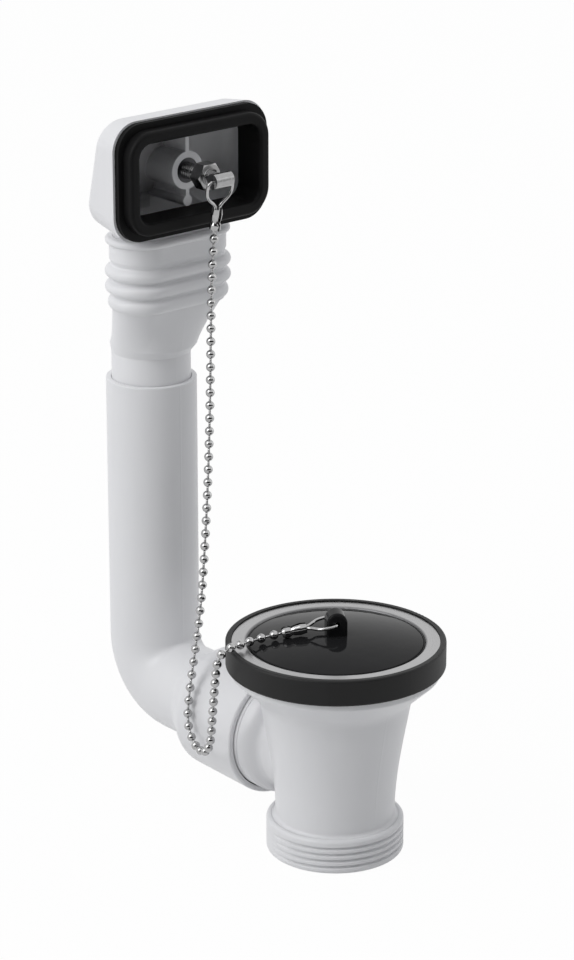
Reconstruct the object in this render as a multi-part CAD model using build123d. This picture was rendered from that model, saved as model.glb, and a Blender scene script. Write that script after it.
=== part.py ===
"""Sink waste with a rectangular overflow, a plug and a ball chain.

The round waste stands on the Z axis with the top of its gasket at Z = 0, where the bowl's floor lies.
Its side inlet points along -X to an upright overflow pipe. A flexible connector joins that pipe to
the overflow head, whose mouth faces +X through the bowl's wall. Sizes are in millimetres.
"""

import os
from math import atan2, cos, pi, radians, sin, tan

from build123d import *

# Waste gasket: a thick rubber ring whose top lip stands round the steel flange
GASKET_RADIUS = 37.85
GASKET_HEIGHT = 9.2
GASKET_LIP_WIDTH = 2.0
GASKET_LIP_HEIGHT = 1.3
GASKET_EDGE = 0.7

# Strainer flange: one pressed steel sheet, a flat ring and a cup with drain holes
SHEET = 0.8
FLANGE_CLEARANCE = 0.15
FLANGE_RING_WIDTH = 4.8
CUP_CLEARANCE = 0.36
CUP_DRAFT = 4.3
CUP_DEPTH = 10.5
CUP_BEND = 1.2
DRAIN_HOLE_RADIUS = 3.4
INNER_DRAIN_CIRCLE = 11.5
INNER_DRAIN_COUNT = 6
OUTER_DRAIN_INSET = 6.1
OUTER_DRAIN_COUNT = 12

# Plug: a shallow stopper that rests in the cup, with an upright cross-drilled post
PLUG_SEAT_CLEARANCE = 0.2
PLUG_RIM_DROP = 0.5
PLUG_CROWN = 0.9
PLUG_HEIGHT = 7.5
PLUG_SKIN = 3.2
PLUG_WALL = 4.0
POST_WIDTH = 7.2
POST_THICKNESS = 6.8
POST_TOP = 10.3
POST_HOLE_HEIGHT = 6.5
POST_EDGE = 0.9
CHAIN_HEADING = 237.0

# Waste body: a flange that slopes into a tapered barrel, and a collar for the trap's nut
GASKET_OVERHANG = 1.8
BODY_FLANGE_EDGE = 2.5
BODY_FLANGE_SLOPE = 9.0
BODY_MOUTH_STEP = 2.4
BODY_MOUTH_DEPTH = 2.4
BARREL_TOP_RADIUS = 26.4
BARREL_BOTTOM_RADIUS = 20.7
BODY_WALL = 2.2
SHOULDER_Z = -65.2
BODY_BOTTOM_Z = -77.6
COLLAR_RADIUS = 23.9
FLANGE_FILLET = 8.0
FLANGE_ROUND = 0.9
COLLAR_ROOT = 1.1
COLLAR_EDGE = 1.3

# Cross-bar inside the barrel, with a bush for the flange screw
BAR_TOP_Z = -20.5
BAR_HEIGHT = 9.0
BAR_WIDTH = 6.0
BAR_BOSS_RADIUS = 6.6
BUSH_RADIUS = 4.4
BUSH_CLEARANCE = 0.05
SCREW_RADIUS = 3.0
THREAD_CLEARANCE = 0.05
SCREW_HEAD_RADIUS = 5.6
SCREW_HEAD_HEIGHT = 2.4
SCREW_SLOT = 1.2
SCREW_POINT = 3.0

# Side inlet and the push-fit socket over it
INLET_Z = -44.0
INLET_BORE_RADIUS = 15.2
INLET_NECK_RADIUS = 17.2
INLET_NECK_END = 20.8
INLET_MOUTH_GAP = 0.4
INLET_GROOVE_START = 28.3
INLET_GROOVE_WIDTH = 0.6
INLET_GROOVE_DEPTH = 0.5
INLET_COLLAR_START = 24.0
INLET_COLLAR_END = 31.2
INLET_SPIGOT_RADIUS = 18.7
INLET_SPIGOT_END = 50.0
INLET_FILLET = 3.0
INLET_ROOT_FILLET = 2.3
SOCKET_MOUTH = 30.0
SOCKET_DEPTH = 28.3
SOCKET_BORE_RADIUS = 21.1
SOCKET_RADIUS = 23.0
SOCKET_ROOT_RADIUS = 22.3
SOCKET_TAPER = 10.0
SOCKET_BLEND = 6.0
SOCKET_ROOT_BLEND = 3.0
SOCKET_LIP = 0.8
RING_LENGTH = 6.0
RING_CLEARANCE = 0.08

# Overflow pipe: upright tube and a tight elbow that runs into the socket
PIPE_X = -99.5
PIPE_TOP_Z = 70.6
PIPE_RADIUS = 16.2
PIPE_WALL = 2.0
ELBOW_RADIUS = 17.0
PIPE_RIM_EDGE = 0.5

# Flexible connector: oval collar and folds above, round spigot in the pipe below
SPIGOT_CLEARANCE = 0.1
SPIGOT_WALL = 1.6
SPIGOT_BOTTOM_Z = 36.0
SPIGOT_SHOULDER_Z = 80.3
OVAL_X = -89.2
OVAL_STRAIGHT = 23.0
FOLD_ROOT_RADIUS = 10.7
FOLD_VALLEY_RADIUS = 0.8
FOLD_HEIGHTS = [2.4, 2.4, 1.5]
FOLD_PITCH = 5.6
FOLDS_TOP_Z = 116.7
SKIRT_FOOT_X = -98.0
SKIRT_FOOT_RADIUS = 15.5
SKIRT_FOOT_HEIGHT = 3.2
SKIRT_TOP_SHIFT = -0.5
SKIRT_TOP_INSET = 0.3
NECK_BAND = 1.6
CONNECTOR_TOP_Z = 126.4
CONNECTOR_WALL = 1.3
COLLAR_BAND_RADIUS = 11.5
BEAD_HEIGHT = 2.5
BEAD_RADIUS = 12.9

# Overflow head: moulded box with a sloping back, a spout below and a boss for the chain stay
HEAD_Z = 149.5
HEAD_FRONT_X = -76.4
HEAD_WIDTH = 67.4
HEAD_HEIGHT = 42.4
HEAD_CORNER = 10.0
HEAD_BACK_X = -100.4
HEAD_BACK_WIDTH = 58.0
HEAD_BACK_HEIGHT = 38.0
HEAD_BACK_SLOPE = 17.0
HEAD_BACK_EDGE = 5.0
HEAD_WALL = 2.0
SPOUT_WALL = 1.8
SPOUT_CLEARANCE = 0.15
BOSS_RADIUS = 6.7
BOSS_FRONT_X = -78.0
RIB_THICKNESS = 1.5
RIB_REACH = 12.6
RIB_END_RADIUS = 1.9

# Overflow seal: rubber frame with a flange, a raised rim and a sleeve in the head's mouth
SEAL_WIDTH = 65.6
SEAL_HEIGHT = 41.2
SEAL_CORNER = 9.7
SEAL_FLANGE = 2.0
RIM_HEIGHT = 4.2
RIM_WIDTH = 4.3
OPENING_WIDTH = 52.8
OPENING_HEIGHT = 27.8
OPENING_CORNER = 5.0
SLEEVE_WALL = 1.6
SLEEVE_LENGTH = 6.0
SLEEVE_CLEARANCE = 0.15
RIM_EDGE = 1.3

# Chain stay: screw in the head's boss, a nut on it and a cross tube at its end
STAY_X = -60.0
STAY_INNER_X = -87.5
STAY_TUBE_RADIUS = 2.7
STAY_TUBE_LENGTH = 7.7
STAY_NECK_RADIUS = 2.2
STAY_THREAD_END_X = -64.6
STAY_BUSH_LENGTH = 9.0
NUT_FRONT_X = -65.6
NUT_THICKNESS = 5.0
NUT_FLATS = 8.8
CROSS_HOLE_RADIUS = 0.85

# Strip clips and lobed clasps, the same at both ends of the chain
STRIP_WIDTH = 1.3
STRIP_THICKNESS = 0.7
CLIP_GAP = 0.3
CLIP_PIN = 2.6
CLIP_BEND = 1.0
CLIP_SHOULDER = 4.5
CLIP_WAIST = 9.5
CLIP_LENGTH = 14.2
CLIP_LOOP_HALF_WIDTH = 0.9
CLASP_START = 10.4
CLASP_SHEET = 0.3
CLASP_CLEARANCE = 0.08
CLASP_SLOT = 1.3
UPPER_CLIP_SWING = 11.0
LOWER_CLIP_DIP = 10.5

# Ball chain: balls on short links, along a route that hangs in front of the socket and
# climbs over the gasket's edge to the plug
BALL_RADIUS = 1.6
BALL_PITCH = 4.55
BALL_SIDES = 10
BALL_RINGS = [-60, -20, 20, 60]
LINK_RADIUS = 0.45
FIRST_BALL = 17.2
CHAIN_ROUTE = [
    (-64.8, -0.4, 119.0),
    (-64.2, -1.4, 97.0),
    (-63.2, -2.9, 69.0),
    (-61.2, -5.7, 42.5),
    (-59.0, -9.3, 18.0),
    (-56.6, -13.0, 0.0),
    (-54.8, -17.2, -15.4),
    (-53.2, -21.1, -28.0),
    (-50.9, -24.9, -40.4),
    (-43.2, -28.0, -46.0),
    (-34.0, -30.7, -45.7),
    (-27.9, -33.0, -39.5),
    (-25.3, -34.4, -30.5),
    (-22.2, -36.2, -21.1),
    (-18.6, -38.3, -11.2),
    (-15.2, -40.4, -2.6),
    (-12.8, -39.0, 2.4),
    (-13.4, -32.6, 1.9),
    (-14.4, -27.2, 1.5),
    (-12.9, -19.9, 2.1),
]

# Places that follow from the sizes above
BODY_TOP_Z = -GASKET_HEIGHT
RECESS_Z = -GASKET_LIP_HEIGHT
FLANGE_TOP_Z = RECESS_Z + SHEET
CUP_FLOOR_Z = FLANGE_TOP_Z - CUP_DEPTH
FLANGE_OUTER_RADIUS = GASKET_RADIUS - GASKET_LIP_WIDTH - FLANGE_CLEARANCE
SEAT_RADIUS = FLANGE_OUTER_RADIUS - FLANGE_RING_WIDTH
CUP_FLOOR_RADIUS = SEAT_RADIUS - CUP_DRAFT
CUP_SHIFT = SHEET * tan(atan2(CUP_DEPTH, CUP_DRAFT) / 2)
GASKET_BORE_RADIUS = SEAT_RADIUS + CUP_SHIFT + CUP_CLEARANCE
OUTER_DRAIN_CIRCLE = CUP_FLOOR_RADIUS - OUTER_DRAIN_INSET
BODY_FLANGE_RADIUS = GASKET_RADIUS - GASKET_OVERHANG
BODY_MOUTH_RADIUS = GASKET_BORE_RADIUS - BODY_MOUTH_STEP
FLANGE_EDGE_Z = BODY_TOP_Z - BODY_FLANGE_EDGE
BARREL_TOP_Z = FLANGE_EDGE_Z - BODY_FLANGE_SLOPE
INLET_COLLAR_RADIUS = SOCKET_BORE_RADIUS - INLET_MOUTH_GAP
BAR_MIDDLE_Z = BAR_TOP_Z - BAR_HEIGHT / 2
PIPE_BORE_RADIUS = PIPE_RADIUS - PIPE_WALL
SPIGOT_RADIUS = PIPE_BORE_RADIUS - SPIGOT_CLEARANCE
SPOUT_RADIUS = COLLAR_BAND_RADIUS - CONNECTOR_WALL - SPOUT_CLEARANCE
SPOUT_BOTTOM_Z = FOLDS_TOP_Z + NECK_BAND + SPOUT_CLEARANCE
SEAL_FRONT_X = HEAD_FRONT_X + SEAL_FLANGE
RIM_FRONT_X = SEAL_FRONT_X + RIM_HEIGHT
FOLDS_BOTTOM_Z = FOLDS_TOP_Z - len(FOLD_HEIGHTS) * FOLD_PITCH
SKIRT_FOOT_TOP_Z = SPIGOT_SHOULDER_Z + SKIRT_FOOT_HEIGHT
SIDEWAYS = Plane(origin=(0, 0, INLET_Z), x_dir=(0, 1, 0), z_dir=(-1, 0, 0))


def turned(*outline):
    """Solid of revolution about the local Z axis from a closed (radius, height) outline."""
    return revolve(Plane.XZ * make_face(Polyline(*outline, close=True)), Axis.Z)


def circles(solid, radius, height):
    """Round edges of a solid that lie at one height and one radius about the local Z axis."""
    level = solid.edges().filter_by(GeomType.CIRCLE).filter_by_position(Axis.Z, height - 0.01, height + 0.01)
    return [edge for edge in level if abs(edge.radius - radius) < 0.01]


def facing(x_place, shape):
    """Put a flat (Y, Z) shape that is drawn about the head's middle on the plane X = x_place."""
    return Plane(origin=(x_place, 0, HEAD_Z), x_dir=(0, 1, 0), z_dir=(1, 0, 0)) * shape


def racetrack(profile):
    """Carry a closed (radius, height) profile round the connector's oval: two half turns, two straights."""
    half = OVAL_STRAIGHT / 2
    section = Plane.XZ * profile
    turn = revolve(section, Axis.Z, revolution_arc=180)
    straight = extrude(section, amount=OVAL_STRAIGHT)
    near = Location((OVAL_X, -half, 0))
    far = Location((OVAL_X, half, 0))
    ring = far * turn + near * Rot(0, 0, 180) * turn + far * straight + near * Rot(0, 0, 180) * straight
    return ring.clean()


def oval(radius, z_place):
    """Flat oval face of the connector at one height."""
    shape = SlotCenterToCenter(OVAL_STRAIGHT, 2 * radius, rotation=90)
    return Plane(origin=(OVAL_X, 0, z_place)) * shape


def seat_radius(z_place):
    """Radius of the cup's cone at a height."""
    return SEAT_RADIUS - (FLANGE_TOP_Z - z_place) * CUP_DRAFT / CUP_DEPTH


def waste_gasket():
    """Rubber ring with a recess in its top for the steel flange."""
    lip_radius = GASKET_RADIUS - GASKET_LIP_WIDTH
    ring = turned(
        (GASKET_BORE_RADIUS, BODY_TOP_Z),
        (GASKET_RADIUS, BODY_TOP_Z),
        (GASKET_RADIUS, 0),
        (lip_radius, 0),
        (lip_radius, RECESS_Z),
        (GASKET_BORE_RADIUS, RECESS_Z),
    )
    edges = circles(ring, GASKET_RADIUS, 0) + circles(ring, GASKET_RADIUS, BODY_TOP_Z)
    return fillet(edges, GASKET_EDGE)


def strainer_flange():
    """Pressed sheet: a flat ring, a bend, a cone for the plug and a floor with drain holes."""
    hole = SCREW_RADIUS + FLANGE_CLEARANCE
    sheet = turned(
        (FLANGE_OUTER_RADIUS, FLANGE_TOP_Z),
        (SEAT_RADIUS, FLANGE_TOP_Z),
        (CUP_FLOOR_RADIUS, CUP_FLOOR_Z),
        (hole, CUP_FLOOR_Z),
        (hole, CUP_FLOOR_Z - SHEET),
        (CUP_FLOOR_RADIUS + CUP_SHIFT, CUP_FLOOR_Z - SHEET),
        (SEAT_RADIUS + CUP_SHIFT, FLANGE_TOP_Z - SHEET),
        (FLANGE_OUTER_RADIUS, FLANGE_TOP_Z - SHEET),
    )
    sheet = fillet(circles(sheet, SEAT_RADIUS, FLANGE_TOP_Z), CUP_BEND)
    sheet = fillet(circles(sheet, CUP_FLOOR_RADIUS + CUP_SHIFT, CUP_FLOOR_Z - SHEET), CUP_BEND)
    drain = Cylinder(DRAIN_HOLE_RADIUS, 4 * SHEET)
    inner = PolarLocations(INNER_DRAIN_CIRCLE, INNER_DRAIN_COUNT)
    outer = PolarLocations(OUTER_DRAIN_CIRCLE, OUTER_DRAIN_COUNT)
    floor = Pos(0, 0, CUP_FLOOR_Z - SHEET / 2)
    return sheet - floor * inner * drain - floor * outer * drain


def plug():
    """Rubber stopper with a domed top, a hollow underside and a cross-drilled post."""
    rim_z = FLANGE_TOP_Z - PLUG_RIM_DROP
    crown_z = rim_z + PLUG_CROWN
    floor_z = rim_z - PLUG_HEIGHT
    rim_radius = seat_radius(rim_z) - PLUG_SEAT_CLEARANCE
    floor_radius = seat_radius(floor_z) - PLUG_SEAT_CLEARANCE
    dome_radius = (rim_radius**2 + PLUG_CROWN**2) / (2 * PLUG_CROWN)
    half_turn = atan2(rim_radius / 2, dome_radius)
    on_dome = (dome_radius * sin(half_turn), crown_z - dome_radius * (1 - cos(half_turn)))
    top = ThreePointArc((0, crown_z), on_dome, (rim_radius, rim_z))
    rest = Polyline(
        (rim_radius, rim_z),
        (floor_radius, floor_z),
        (floor_radius - PLUG_WALL, floor_z),
        (floor_radius - PLUG_WALL, rim_z - PLUG_SKIN),
        (0, rim_z - PLUG_SKIN),
        (0, crown_z),
    )
    stopper = revolve(Plane.XZ * make_face(Curve() + [top, rest]), Axis.Z)
    shoulder_z = POST_TOP - POST_WIDTH / 2
    front = Rectangle(POST_WIDTH, shoulder_z - rim_z, align=(Align.CENTER, Align.MIN))
    front = Pos(0, rim_z) * front + Pos(0, shoulder_z) * Circle(POST_WIDTH / 2)
    post = extrude(Plane.XZ * front, amount=POST_THICKNESS / 2, both=True)
    post = fillet(post.faces().sort_by(Axis.Y)[-1].edges() + post.faces().sort_by(Axis.Y)[0].edges(), POST_EDGE)
    hole = Pos(0, 0, POST_HOLE_HEIGHT) * Rot(90, 0, 0) * Cylinder(CROSS_HOLE_RADIUS, 2 * POST_THICKNESS)
    return Rot(0, 0, CHAIN_HEADING) * (stopper + post - hole)


def inlet_outline():
    """Outer shape of the side inlet: neck, collar against the socket's mouth and spigot, along -X."""
    shape = turned(
        (0, 0),
        (INLET_NECK_RADIUS, 0),
        (INLET_NECK_RADIUS, INLET_NECK_END),
        (INLET_COLLAR_RADIUS, INLET_COLLAR_START),
        (INLET_COLLAR_RADIUS, INLET_GROOVE_START),
        (INLET_COLLAR_RADIUS - INLET_GROOVE_DEPTH, INLET_GROOVE_START + INLET_GROOVE_WIDTH / 2),
        (INLET_COLLAR_RADIUS, INLET_GROOVE_START + INLET_GROOVE_WIDTH),
        (INLET_COLLAR_RADIUS, INLET_COLLAR_END),
        (INLET_SPIGOT_RADIUS, INLET_COLLAR_END),
        (INLET_SPIGOT_RADIUS, INLET_SPIGOT_END),
        (0, INLET_SPIGOT_END),
    )
    shape = fillet(circles(shape, INLET_NECK_RADIUS, INLET_NECK_END), INLET_FILLET)
    return SIDEWAYS * shape


def barrel_side(inset):
    """Barrel's side as one curve from its top to the shoulder, tapered above and upright below."""
    drop = BARREL_TOP_Z - SHOULDER_Z
    top_radius = BARREL_TOP_RADIUS - inset
    bottom_radius = BARREL_BOTTOM_RADIUS - inset
    taper = top_radius - bottom_radius
    return Bezier(
        (top_radius, BARREL_TOP_Z),
        (bottom_radius + 0.46 * taper, BARREL_TOP_Z - 0.39 * drop),
        (bottom_radius, BARREL_TOP_Z - 0.66 * drop),
        (bottom_radius, SHOULDER_Z),
    )


def waste_body():
    """Moulded body: flange, tapered barrel, collar, side inlet and a cross-bar for the flange screw."""
    bore_radius = BARREL_BOTTOM_RADIUS - BODY_WALL
    above = Polyline(
        (0, BODY_BOTTOM_Z),
        (0, BODY_TOP_Z),
        (BODY_FLANGE_RADIUS, BODY_TOP_Z),
        (BODY_FLANGE_RADIUS, FLANGE_EDGE_Z),
        (BARREL_TOP_RADIUS, BARREL_TOP_Z),
    )
    below = Polyline(
        (BARREL_BOTTOM_RADIUS, SHOULDER_Z),
        (COLLAR_RADIUS, SHOULDER_Z),
        (COLLAR_RADIUS, BODY_BOTTOM_Z),
        (0, BODY_BOTTOM_Z),
    )
    outside = revolve(Plane.XZ * make_face(Curve() + [above, barrel_side(0), below]), Axis.Z)
    outside = fillet(circles(outside, BARREL_TOP_RADIUS, BARREL_TOP_Z), FLANGE_FILLET)
    outside = fillet(circles(outside, BODY_FLANGE_RADIUS, FLANGE_EDGE_Z), FLANGE_ROUND)
    outside = fillet(circles(outside, BARREL_BOTTOM_RADIUS, SHOULDER_Z), COLLAR_ROOT)
    ends = circles(outside, COLLAR_RADIUS, SHOULDER_Z) + circles(outside, COLLAR_RADIUS, BODY_BOTTOM_Z)
    outside = fillet(ends, COLLAR_EDGE)
    mouth = Polyline(
        (0, BODY_BOTTOM_Z),
        (0, BODY_TOP_Z),
        (BODY_MOUTH_RADIUS, BODY_TOP_Z),
        (BODY_MOUTH_RADIUS, BODY_TOP_Z - BODY_MOUTH_DEPTH),
        (BARREL_TOP_RADIUS - BODY_WALL, BARREL_TOP_Z),
    )
    outlet = Polyline((bore_radius, SHOULDER_Z), (bore_radius, BODY_BOTTOM_Z), (0, BODY_BOTTOM_Z))
    inside = revolve(Plane.XZ * make_face(Curve() + [mouth, barrel_side(BODY_WALL), outlet]), Axis.Z)
    upward = (Align.CENTER, Align.CENTER, Align.MIN)
    neck = SIDEWAYS * Cylinder(INLET_NECK_RADIUS, INLET_COLLAR_START, align=upward)
    joined = outside + neck
    joined = fillet(new_edges(outside, neck, combined=joined), INLET_ROOT_FILLET)
    bore = SIDEWAYS * Cylinder(INLET_BORE_RADIUS, INLET_SPIGOT_END, align=upward)
    shell = joined + inlet_outline() - inside - bore
    beam = Box(BAR_WIDTH, 2 * BODY_FLANGE_RADIUS, BAR_HEIGHT) + Cylinder(BAR_BOSS_RADIUS, BAR_HEIGHT)
    beam = Pos(0, 0, BAR_MIDDLE_Z) * (beam - Cylinder(BUSH_RADIUS + BUSH_CLEARANCE, 2 * BAR_HEIGHT))
    return shell + (beam & outside)


def bush(length):
    """Threaded metal bush on the local Z axis, shown plain inside."""
    return Cylinder(BUSH_RADIUS, length) - Cylinder(SCREW_RADIUS + THREAD_CLEARANCE, 2 * length)


def flange_screw():
    """Slotted screw with a domed head on the cup's floor and its end in the cross-bar's bush."""
    bottom_z = BAR_TOP_Z - BAR_HEIGHT - SCREW_POINT
    top_z = CUP_FLOOR_Z + SCREW_HEAD_HEIGHT
    screw = turned(
        (0, top_z),
        (SCREW_HEAD_RADIUS * 0.6, top_z),
        (SCREW_HEAD_RADIUS, CUP_FLOOR_Z + SCREW_HEAD_HEIGHT / 3),
        (SCREW_HEAD_RADIUS, CUP_FLOOR_Z),
        (SCREW_RADIUS, CUP_FLOOR_Z),
        (SCREW_RADIUS, bottom_z + SCREW_SLOT / 2),
        (SCREW_RADIUS - SCREW_SLOT / 2, bottom_z),
        (0, bottom_z),
    )
    slot = Box(4 * SCREW_HEAD_RADIUS, SCREW_SLOT, SCREW_HEAD_HEIGHT)
    return screw - Pos(0, 0, top_z) * slot


def socket_seal():
    """Rubber ring between the inlet's spigot and the socket, just inside the socket's mouth."""
    start = INLET_COLLAR_END + RING_CLEARANCE
    inner = INLET_SPIGOT_RADIUS + RING_CLEARANCE
    outer = SOCKET_BORE_RADIUS - RING_CLEARANCE
    ring = turned((inner, start), (outer, start), (outer, start + RING_LENGTH), (inner, start + RING_LENGTH))
    return SIDEWAYS * ring


def pipe_form(radius, socket, top_z):
    """Upright round bar, quarter bend and level run, joined to a turned socket form."""
    bend_z = INLET_Z + ELBOW_RADIUS
    bend_x = PIPE_X + ELBOW_RADIUS
    upright = extrude(Pos(PIPE_X, 0, bend_z) * Circle(radius), amount=top_z - bend_z)
    centre = Axis((bend_x, 0, bend_z), (0, -1, 0))
    bend = revolve(Pos(PIPE_X, 0, bend_z) * Circle(radius), centre, revolution_arc=90)
    return upright + bend + SIDEWAYS * socket


def overflow_pipe():
    """Overflow pipe, elbow and socket in one moulding."""
    socket_end = SOCKET_MOUTH + SOCKET_DEPTH
    taper_start = socket_end + PIPE_WALL
    taper_end = taper_start + SOCKET_TAPER
    bend_start = -(PIPE_X + ELBOW_RADIUS)
    outer = turned(
        (0, SOCKET_MOUTH),
        (SOCKET_RADIUS, SOCKET_MOUTH),
        (SOCKET_ROOT_RADIUS, taper_start),
        (PIPE_RADIUS, taper_end),
        (PIPE_RADIUS, bend_start),
        (0, bend_start),
    )
    outer = fillet(circles(outer, SOCKET_ROOT_RADIUS, taper_start), SOCKET_BLEND)
    outer = fillet(circles(outer, PIPE_RADIUS, taper_end), SOCKET_ROOT_BLEND)
    inner = turned(
        (0, SOCKET_MOUTH),
        (SOCKET_BORE_RADIUS, SOCKET_MOUTH),
        (SOCKET_BORE_RADIUS, socket_end),
        (PIPE_BORE_RADIUS, taper_end - PIPE_WALL),
        (PIPE_BORE_RADIUS, bend_start),
        (0, bend_start),
    )
    pipe = pipe_form(PIPE_RADIUS, outer, PIPE_TOP_Z) - pipe_form(PIPE_BORE_RADIUS, inner, PIPE_TOP_Z)
    rim = pipe.faces().sort_by(Axis.Z)[-1].edges()
    pipe = fillet(rim, PIPE_RIM_EDGE)
    mouth = pipe.faces().filter_by(Axis.X).sort_by(Axis.X)[-1].edges().sort_by(SortBy.RADIUS)[-1]
    return fillet(mouth, SOCKET_LIP)


def fold_outline(inset):
    """Connector's side outline from the collar's top to the skirt, as joined curves, inset by a wall.

    Each fold is a round crest between two halves of round valleys, all tangent to each other.
    """
    start = (FOLD_ROOT_RADIUS - inset, FOLDS_TOP_Z)
    curves = [Line((COLLAR_BAND_RADIUS - inset, FOLDS_TOP_Z + NECK_BAND), start)]
    valley_radius = FOLD_VALLEY_RADIUS + inset
    valley_x = FOLD_ROOT_RADIUS + FOLD_VALLEY_RADIUS
    for number, height in enumerate(FOLD_HEIGHTS):
        spread = (height**2 + FOLD_PITCH**2 / 4) / (2 * height)
        crest_z = FOLDS_TOP_Z - (number + 0.5) * FOLD_PITCH
        turn = atan2(FOLD_PITCH / 2, spread - height)
        across = valley_x - valley_radius * cos(turn)
        along = FOLD_PITCH / 2 - valley_radius * sin(turn)
        halfway_x = valley_x - valley_radius * cos(turn / 2)
        halfway_z = FOLD_PITCH / 2 - valley_radius * sin(turn / 2)
        end = (FOLD_ROOT_RADIUS - inset, crest_z - FOLD_PITCH / 2)
        curves.append(ThreePointArc(start, (halfway_x, crest_z + halfway_z), (across, crest_z + along)))
        crest = (FOLD_ROOT_RADIUS + height - inset, crest_z)
        curves.append(ThreePointArc((across, crest_z + along), crest, (across, crest_z - along)))
        curves.append(ThreePointArc((across, crest_z - along), (halfway_x, crest_z - halfway_z), end))
        start = end
    return curves


def bellows_connector():
    """Oval collar with a bead, rounded folds, a skirt that turns round and a spigot for the pipe."""
    band_z = FOLDS_TOP_Z + NECK_BAND
    inner_band = COLLAR_BAND_RADIUS - CONNECTOR_WALL
    outer = fold_outline(0)
    inner = fold_outline(CONNECTOR_WALL)
    bead_z = CONNECTOR_TOP_Z - BEAD_HEIGHT
    collar = [
        Polyline((inner_band, band_z), (inner_band, CONNECTOR_TOP_Z), (COLLAR_BAND_RADIUS, CONNECTOR_TOP_Z)),
        ThreePointArc(
            (COLLAR_BAND_RADIUS, CONNECTOR_TOP_Z), (BEAD_RADIUS, bead_z + BEAD_HEIGHT / 2), (COLLAR_BAND_RADIUS, bead_z)
        ),
        Line((COLLAR_BAND_RADIUS, bead_z), (COLLAR_BAND_RADIUS, band_z)),
    ]
    foot = [Line((FOLD_ROOT_RADIUS, FOLDS_BOTTOM_Z), (FOLD_ROOT_RADIUS - CONNECTOR_WALL, FOLDS_BOTTOM_Z))]
    folds = racetrack(make_face(Curve() + outer + inner + collar + foot))
    skirt = connector_skirt(0, 0) - connector_skirt(CONNECTOR_WALL, SPIGOT_WALL)
    upward = (Align.CENTER, Align.CENTER, Align.MIN)
    foot_bottom = Pos(PIPE_X, 0, SPIGOT_SHOULDER_Z) * Circle(SPIGOT_RADIUS)
    foot_top = Pos(SKIRT_FOOT_X, 0, SKIRT_FOOT_TOP_Z) * Circle(SKIRT_FOOT_RADIUS)
    foot_cone = loft([foot_bottom.face(), foot_top.face()])
    spigot_length = SKIRT_FOOT_TOP_Z - SPIGOT_BOTTOM_Z
    spigot = Pos(PIPE_X, 0, SPIGOT_BOTTOM_Z) * Cylinder(SPIGOT_RADIUS, spigot_length, align=upward)
    hollow = Pos(PIPE_X, 0, SPIGOT_BOTTOM_Z) * Cylinder(SPIGOT_RADIUS - SPIGOT_WALL, spigot_length, align=upward)
    return folds + skirt + (foot_cone + spigot - hollow)


def connector_skirt(oval_inset, round_inset):
    """Blend from the oval below the folds to the round foot above the spigot."""
    top_radius = FOLD_ROOT_RADIUS - SKIRT_TOP_INSET - oval_inset
    top = Pos(SKIRT_TOP_SHIFT, 0, 0) * oval(top_radius, FOLDS_BOTTOM_Z)
    bottom = Pos(SKIRT_FOOT_X, 0, SKIRT_FOOT_TOP_Z) * Circle(SKIRT_FOOT_RADIUS - round_inset)
    return loft([bottom.face(), top.face()])


def head_block(inset, front_x):
    """Head's box, drawn in towards the back, with a sloping rounded back, inset by a wall."""
    front = facing(front_x, RectangleRounded(HEAD_WIDTH - 2 * inset, HEAD_HEIGHT - 2 * inset, HEAD_CORNER - inset))
    back = facing(
        HEAD_BACK_X + inset,
        RectangleRounded(HEAD_BACK_WIDTH - 2 * inset, HEAD_BACK_HEIGHT - 2 * inset, HEAD_CORNER - inset),
    )
    block = loft([back.face(), front.face()])
    low_back = Location((HEAD_BACK_X + inset, 0, HEAD_Z - HEAD_BACK_HEIGHT / 2))
    slope = low_back * Rot(0, HEAD_BACK_SLOPE, 0)
    wedge = slope * Box(HEAD_WIDTH, 2 * HEAD_WIDTH, 2 * HEAD_WIDTH, align=(Align.MAX, Align.CENTER, Align.CENTER))
    block = block - wedge
    edges = block.faces().sort_by(Axis.X)[0].edges()
    return fillet(edges, HEAD_BACK_EDGE)


def overflow_head():
    """Moulded overflow housing with its mouth, spout, boss and ribs."""
    mouth_width = OPENING_WIDTH + 2 * (SLEEVE_WALL + SLEEVE_CLEARANCE)
    mouth_height = OPENING_HEIGHT + 2 * (SLEEVE_WALL + SLEEVE_CLEARANCE)
    outside = head_block(0, HEAD_FRONT_X)
    inside = head_block(HEAD_WALL, HEAD_FRONT_X - HEAD_WALL)
    mouth = extrude(
        facing(HEAD_FRONT_X, RectangleRounded(mouth_width, mouth_height, OPENING_CORNER + SLEEVE_WALL)),
        amount=-2 * HEAD_WALL,
    )
    spout_top = HEAD_Z - HEAD_HEIGHT / 4
    spout = extrude(oval(SPOUT_RADIUS, SPOUT_BOTTOM_Z), amount=spout_top - SPOUT_BOTTOM_Z)
    channel = extrude(oval(SPOUT_RADIUS - SPOUT_WALL, SPOUT_BOTTOM_Z), amount=spout_top - SPOUT_BOTTOM_Z)
    shell = outside + (spout - head_block(HEAD_WALL / 2, HEAD_FRONT_X - HEAD_WALL)) - inside - mouth - channel
    reach = BOSS_FRONT_X - HEAD_BACK_X
    boss = extrude(facing(BOSS_FRONT_X, Circle(BOSS_RADIUS)), amount=-reach)
    rib = extrude(facing(BOSS_FRONT_X, Rectangle(RIB_THICKNESS, 2 * RIB_REACH)), amount=-reach)
    rib_end = extrude(facing(BOSS_FRONT_X, Pos(0, -RIB_REACH + RIB_END_RADIUS) * Circle(RIB_END_RADIUS)), amount=-reach)
    hole = extrude(
        facing(BOSS_FRONT_X, Circle(BUSH_RADIUS + BUSH_CLEARANCE)),
        amount=-(STAY_BUSH_LENGTH + HEAD_WALL),
    )
    return shell + ((boss + rib + rib_end) & outside) - hole


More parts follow.
